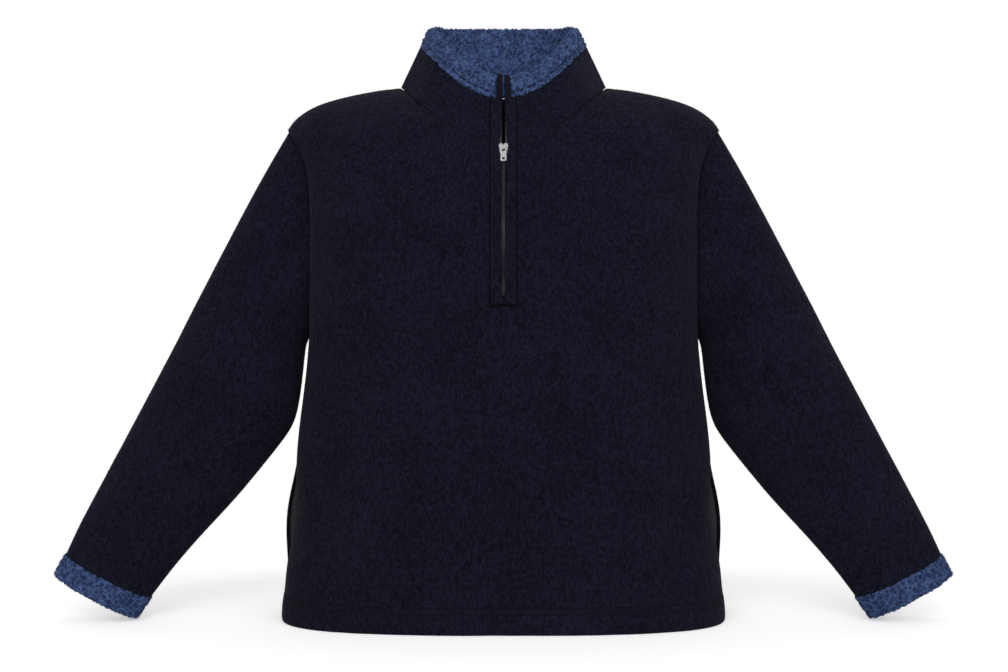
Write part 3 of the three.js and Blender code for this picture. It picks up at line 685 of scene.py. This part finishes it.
# ---------------------------------------------------------------- zip
@dataclass
class ZipTeeth:
    """Two rows of moulded teeth on the tapes, meshed below the slider and parted above it."""

    finish: bpy.types.Material
    pitch: float = 0.0026
    height: float = 0.0012
    out: float = 0.0012
    reach: float = 0.0021
    slider_gap: float = 0.0015
    end_gap: float = 0.002
    closed_edge: float = 0.0004
    parted_edge: float = 0.0023
    clasp: float = 0.0007
    slant: float = 0.0004
    sunk: float = 0.0001

    def build(self, nodes: dict[str, bpy.types.Object]) -> bpy.types.Object:
        """Makes both rows as one joined mesh.

        Args:
            nodes: the frame's nodes by name.

        Returns:
            The joined teeth.
        """
        work = bmesh.new()
        slider_low, slider_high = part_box("zip_slider")
        for turn, name in ((1, "zip_tape_left"), (-1, "zip_tape_right")):
            tape = read_points(nodes[name].data)
            low, high = tape[:, 2].min() + self.end_gap, tape[:, 2].max() - self.end_gap
            shift = 0 if turn > 0 else self.pitch / 2
            for k in range(int((high - low) / self.pitch)):
                z = low + shift + k * self.pitch
                if slider_low[2] - self.slider_gap < z < slider_high[2] + self.slider_gap:
                    continue
                edge = self.closed_edge if z < slider_low[2] else self.parted_edge
                self._tooth(work, turn, edge, self._front_y(tape, z), z)
        mesh = bpy.data.meshes.new("zip_teeth")
        work.to_mesh(mesh)
        work.free()
        mesh.materials.append(self.finish)
        teeth = bpy.data.objects.new("zip_teeth", mesh)
        bpy.context.scene.collection.objects.link(teeth)
        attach(teeth, "garment")
        LOG.info("zip_teeth: %d faces", len(mesh.polygons))
        return teeth

    def _front_y(self, tape: np.ndarray, z: float) -> float:
        """The tape's front face at a height."""
        levels = np.unique(np.round(tape[:, 2], 5))
        fronts = [tape[np.abs(tape[:, 2] - level) < 2e-5][:, 1].min() for level in levels]
        return float(np.interp(z, levels, fronts))

    def _tooth(self, work: bmesh.types.BMesh, turn: int, edge: float, y: float, z: float) -> None:
        """Adds one tooth: a rounded wedge that clasps the tape's edge.

        Args:
            work: the mesh that is being made.
            turn: 1 on the wearer's left, -1 on the right.
            edge: how far the tape's edge is from the middle.
            y: the tape's front face.
            z: how high the tooth's middle lies.
        """
        inside, outside = (edge - self.clasp) * turn, (edge + self.reach) * turn
        front, back, half = y - self.out, y - self.sunk, self.height / 2
        corners = [
            (inside, back, z - half * 0.6), (outside, back, z - half), (outside, back, z + half),
            (inside, back, z + half * 0.6), (inside, front + self.slant, z - half * 0.5),
            (outside, front, z - half * 0.8), (outside, front, z + half * 0.8),
            (inside, front + self.slant, z + half * 0.5),
        ]
        verts = [work.verts.new(corner) for corner in corners]
        sides = ((0, 1, 2, 3), (7, 6, 5, 4), (0, 4, 5, 1), (1, 5, 6, 2), (2, 6, 7, 3), (3, 7, 4, 0))
        for side in sides:
            order = side if turn > 0 else side[::-1]
            work.faces.new([verts[k] for k in order])


@dataclass
class Fuzz:
    """Loose fibres that stand off the nap and soften the outline."""

    finish: bpy.types.Material
    name: str
    count: int
    length: float
    slot: str
    width: float = 0.00012
    root_depth: float = 0.0003
    seed: int = 5

    def build(self, piece: bpy.types.Object) -> bpy.types.Object:
        """Scatters fibres over a piece's outside.

        Args:
            piece: the cloth that the fibres stand on.

        Returns:
            The fibres as one mesh.
        """
        rng = random.Random(self.seed)
        mesh = piece.data
        count = len(mesh.polygons)
        verts: list[Vector] = []
        faces: list[tuple[int, int, int]] = []
        for _ in range(self.count):
            polygon = mesh.polygons[rng.randrange(count)]
            root = Vector(polygon.center)
            normal = Vector(polygon.normal)
            lean = Vector((rng.gauss(0, 1), rng.gauss(0, 1), rng.gauss(-0.3, 1))) * 0.6
            tip = root + (normal + lean).normalized() * self.length * rng.uniform(0.4, 1.3)
            side = normal.cross(tip - root)
            if side.length < 1e-9:
                continue
            side = side.normalized() * self.width
            start = len(verts)
            verts += [root - side - normal * self.root_depth, root + side - normal * self.root_depth, tip]
            faces.append((start, start + 1, start + 2))
        made = bpy.data.meshes.new(self.name)
        made.from_pydata(verts, [], faces)
        made.materials.append(self.finish)
        fibres = bpy.data.objects.new(self.name, made)
        bpy.context.scene.collection.objects.link(fibres)
        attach(fibres, "garment")
        LOG.info("%s: %d fibres", self.name, len(faces))
        return fibres


# ---------------------------------------------------------------- studio
@dataclass(frozen=True)
class Studio:
    """White floor, soft light and the camera."""

    camera_y: float = -1.344
    camera_z: float = -0.2976
    camera_x: float = 0.0006
    lens: float = 40.0
    world_strength: float = 0.62
    floor_half: float = 30.0
    floor_glow: Rgb = (0.36, 0.36, 0.36)
    shadow_half: tuple[float, float] = (0.62, 0.2)
    shadow_fade: float = 0.5

    def build(self, floor_z: float) -> None:
        """Adds the floor, lamps, world and camera.

        Args:
            floor_z: the height of the floor.
        """
        self._camera()
        self._world()
        self._floor(floor_z)
        self._lamp("key", (-0.6, -2.6, 1.1), 2.4, 44.0)
        self._lamp("fill", (1.6, -2.2, 0.4), 2.0, 20.0)
        self._lamp("top", (0.0, 0.2, 2.4), 2.2, 9.0)

    def _camera(self) -> None:
        """A level camera straight in front."""
        data = bpy.data.cameras.new("camera")
        data.lens = self.lens
        camera = bpy.data.objects.new("camera", data)
        camera.location = (self.camera_x, self.camera_y, self.camera_z)
        camera.rotation_euler = (math.radians(90), 0, 0)
        bpy.context.scene.collection.objects.link(camera)
        bpy.context.scene.camera = camera

    def _world(self) -> None:
        """Soft light from all round, white to the camera."""
        world = bpy.data.worlds.new("studio")
        bpy.context.scene.world = world
        world.use_nodes = True
        tree = world.node_tree
        ground = tree.nodes["Background"]
        ground.inputs["Color"].default_value = (1, 1, 1, 1)
        path = tree.nodes.new("ShaderNodeLightPath")
        seen = tree.nodes.new("ShaderNodeMath")
        seen.operation = "MAXIMUM"
        tree.links.new(path.outputs["Is Camera Ray"], seen.inputs[0])
        tree.links.new(path.outputs["Is Glossy Ray"], seen.inputs[1])
        level = tree.nodes.new("ShaderNodeMapRange")
        level.inputs["To Min"].default_value = self.world_strength
        level.inputs["To Max"].default_value = 1.0
        tree.links.new(seen.outputs[0], level.inputs["Value"])
        tree.links.new(level.outputs[0], ground.inputs["Strength"])

    def _floor(self, floor_z: float) -> None:
        """A white floor that keeps the garment's shadow."""
        half = self.floor_half
        mesh = bpy.data.meshes.new("floor")
        corners = [(-half, -half, 0), (half, -half, 0), (half, half, 0), (-half, half, 0)]
        mesh.from_pydata([(x, y, floor_z + z) for x, y, z in corners], [], [(0, 1, 2, 3)])
        graph = Graph("floor_white")
        path = graph.node("ShaderNodeLightPath", {}, {}, "Is Camera Ray")
        near = graph.node("ShaderNodeBsdfPrincipled", {}, {
            "Base Color": (0.8, 0.8, 0.8, 1), "Roughness": 1.0, "Specular IOR Level": 0.0,
            "Emission Color": graph.blend(path, (0, 0, 0), self.floor_glow), "Emission Strength": 1.0})
        far = graph.node("ShaderNodeEmission", {}, {
            "Color": graph.blend(path, (0.6, 0.6, 0.6), (1, 1, 1)), "Strength": 1.0})
        x, y, _ = graph.axes()
        reach = ((x / self.shadow_half[0]) ** 2.0 + (y / self.shadow_half[1]) ** 2.0) ** 0.5
        fade = graph.node("ShaderNodeClamp", {}, {"Value": (reach - 1.0) / self.shadow_fade})
        mixed = graph.node("ShaderNodeMixShader", {}, {"Fac": fade, 1: near, 2: far})
        graph.output(mixed)
        mesh.materials.append(graph.material)
        floor = bpy.data.objects.new("floor", mesh)
        bpy.context.scene.collection.objects.link(floor)

    def _lamp(self, name: str, place: Sequence[float], size: float, power: float) -> None:
        """A square soft lamp that faces the garment's middle.

        Args:
            name: the lamp's name.
            place: where it stands.
            size: the length of its sides.
            power: its power in watts.
        """
        data = bpy.data.lights.new(name, "AREA")
        data.size = size
        data.energy = power
        lamp = bpy.data.objects.new(name, data)
        lamp.location = place
        aim = Vector((0, 0, self.camera_z)) - Vector(place)
        lamp.rotation_euler = aim.to_track_quat("-Z", "Y").to_euler()
        bpy.context.scene.collection.objects.link(lamp)


# ---------------------------------------------------------------- garment
BODY_FOLDS = (
    Fold(-0.200, -0.520, -14, 0.085, 0.016, 0.0035),
    Fold(-0.176, -0.560, -10, 0.070, 0.014, -0.0022),
    Fold(0.196, -0.515, 13, 0.090, 0.018, 0.0032),
    Fold(0.170, -0.568, 8, 0.062, 0.015, -0.0024),
    Fold(-0.150, -0.110, 58, 0.075, 0.014, 0.0018),
    Fold(0.158, -0.118, -55, 0.068, 0.015, 0.0020),
    Fold(-0.060, -0.430, 6, 0.120, 0.026, 0.0028),
    Fold(0.082, -0.380, -8, 0.140, 0.030, 0.0026),
    Fold(0.028, -0.560, 4, 0.060, 0.024, 0.0015),
    Fold(-0.120, -0.260, -18, 0.080, 0.020, 0.0012),
)
BACK_FOLDS = (
    Fold(-0.150, -0.120, 55, 0.090, 0.016, 0.0030, Side.BACK),
    Fold(0.138, -0.135, -52, 0.085, 0.018, 0.0028, Side.BACK),
    Fold(-0.070, -0.420, 5, 0.150, 0.030, 0.0035, Side.BACK),
    Fold(0.095, -0.470, -7, 0.130, 0.026, 0.0038, Side.BACK),
    Fold(0.010, -0.330, 2, 0.120, 0.034, 0.0022, Side.BACK),
)


def sleeve_folds(turn: int) -> tuple[Fold, ...]:
    """Creases of one sleeve: across the elbow and down the forearm.

    Args:
        turn: 1 on the wearer's left, -1 on the right.

    Returns:
        The sleeve's folds, front and back.
    """
    uneven = 1.0 if turn > 0 else 0.85
    rows = (
        (0.292, -0.330, 40, 0.045, 0.011, 0.0028), (0.318, -0.378, 32, 0.050, 0.012, 0.0024),
        (0.352, -0.300, 20, 0.060, 0.015, -0.0016), (0.398, -0.470, 24, 0.058, 0.011, 0.0020),
        (0.440, -0.520, 28, 0.040, 0.010, 0.0016), (0.268, -0.240, 12, 0.070, 0.014, 0.0022),
    )
    return tuple(
        Fold(turn * x, z, turn * angle, length, width, uneven * depth, side)
        for side in Side for x, z, angle, length, width, depth in rows)


def make_pieces(finishes: dict[str, bpy.types.Material]) -> list[ClothPiece]:
    """Every cloth piece of the pullover.

    Args:
        finishes: the materials by slot.

    Returns:
        The pieces, in the order that they are made.
    """
    fleece, sherpa, lining = finishes["fleece"], finishes["sherpa"], finishes["pocketing"]
    pieces = [
        ClothPiece("front", 3, fleece, "fleece", (0.62, 0.68), 0.36, BODY_FOLDS, ripple=0.0011),
        ClothPiece("back", 3, fleece, "fleece", (0.62, 0.70), 0.38, BACK_FOLDS, ripple=0.0014),
        ClothPiece("collar", 3, fleece, "fleece", (0.42, 0.09), 0.029, ripple=0.0003, crease=1.0),
        ClothPiece("collar_lining", 4, sherpa, "sherpa", (0.44, 0.14), 0.055, held=Held.FOLDED, curl=0.0026,
                   stitch_from="collar_cloth", kept_share=0.82),
    ]
    for side, turn in (("left", 1), ("right", -1)):
        pieces += [
            ClothPiece(f"sleeve_{side}", 3, fleece, "fleece", (0.46, 0.60), 0.17, sleeve_folds(turn),
                       ripple=0.0008),
            ClothPiece(f"cuff_{side}", 4, sherpa, "sherpa", (0.26, 0.04), 0.0085, held=Held.FOLDED,
                       curl=0.0022),
            ClothPiece(f"placket_{side}", 2, fleece, "fleece", (0.28, 0.017), 0.0045, held=Held.STRETCHED),
            # The bags take the front's folds too, so that they stay behind it.
            ClothPiece(f"pocket_{side}", 2, lining, "pocketing", (0.27, 0.155), 0.036, BODY_FOLDS),
        ]
    return pieces


def dress_hardware(nodes: dict[str, bpy.types.Object], finishes: dict[str, bpy.types.Material]) -> None:
    """Gives the zip's own nodes their finish.

    Args:
        nodes: the frame's nodes by name.
        finishes: the materials by slot.
    """
    for name, slot in (("zip_slider", "zip_metal"), ("zip_pull", "zip_metal"),
                       ("zip_tape_left", "zip_tape"), ("zip_tape_right", "zip_tape")):
        for place in nodes[name].material_slots:
            place.material = finishes[slot]
        LOG.info("%s dressed", name)


FLEECE_FIBRES = {"front": 26000, "back": 18000, "sleeve_left": 15000, "sleeve_right": 15000, "collar": 5000}
SHERPA_FIBRES = {"collar_lining": 16000, "cuff_left": 7000, "cuff_right": 7000}
FLEECE_REACH = 0.0022
SHERPA_REACH = 0.0026
FLOOR_GAP = 0.0005


def main() -> None:
    """Loads the frame, builds every piece around it, and sets the studio."""
    logging.basicConfig(level=logging.INFO, format="%(name)s %(message)s")
    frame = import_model()
    nodes = frame["nodes"]
    bpy.context.scene.view_settings.view_transform = "Standard"
    floor_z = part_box("front")[0][2]
    Studio().build(floor_z - FLOOR_GAP)
    finishes = {
        "fleece": Fleece().make(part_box("placket_left")[0][2]),
        "sherpa": Sherpa().make(),
        "pocketing": Woven("pocket_black", (0.0022, 0.0022, 0.003), 700.0).make(),
        "zip_tape": Woven("zip_tape_dark", (0.006, 0.0065, 0.011), 1500.0, 0.55).make(),
        "zip_metal": CastMetal().make(),
    }
    made = {piece.node: piece.build(nodes) for piece in make_pieces(finishes)}
    ZipTeeth(Moulded().make()).build(nodes)
    dress_hardware(nodes, finishes)
    for name, count in FLEECE_FIBRES.items():
        Fuzz(finishes["fleece"], f"{name}_fibres", count, FLEECE_REACH, "fleece").build(made[name])
    for name, count in SHERPA_FIBRES.items():
        Fuzz(finishes["sherpa"], f"{name}_fibres", count, SHERPA_REACH, "sherpa").build(made[name])


if __name__ == "__main__":
    main()
